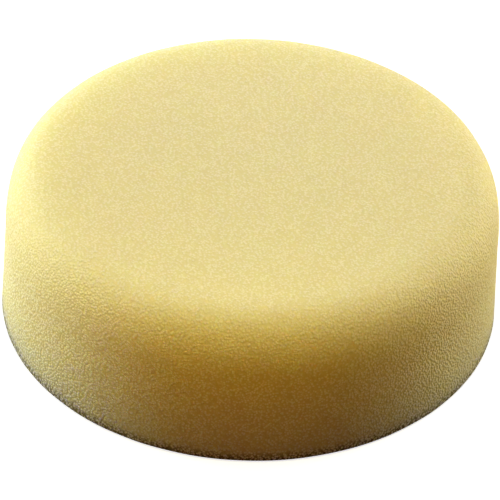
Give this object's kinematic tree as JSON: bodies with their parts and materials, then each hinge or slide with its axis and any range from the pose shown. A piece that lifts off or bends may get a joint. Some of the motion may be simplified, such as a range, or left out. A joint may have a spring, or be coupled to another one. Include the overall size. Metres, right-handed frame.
{
  "type": "foam sponge pad",
  "caption": "Round pale yellow foam sponge pad with a broad rounded working edge and a recessed loop back that grips on a hook-faced holder.",
  "frame": {"origin": "the middle of the loop face that the pad rests on", "axes": "+Z is the pad's axis, out of the rounded working face; the pad is round, so X and Y are free"},
  "size_m": [0.076, 0.076, 0.0254],
  "materials": {
    "foam": "matte",
    "adhesive": "satin",
    "knit": "matte",
    "loops": "matte"
  },
  "bodies": {
    "root": {"foam_pad": "foam", "adhesive_film": "adhesive", "backing_cloth": "knit", "loop_pile": "loops"}
  },
  "joints": []
}
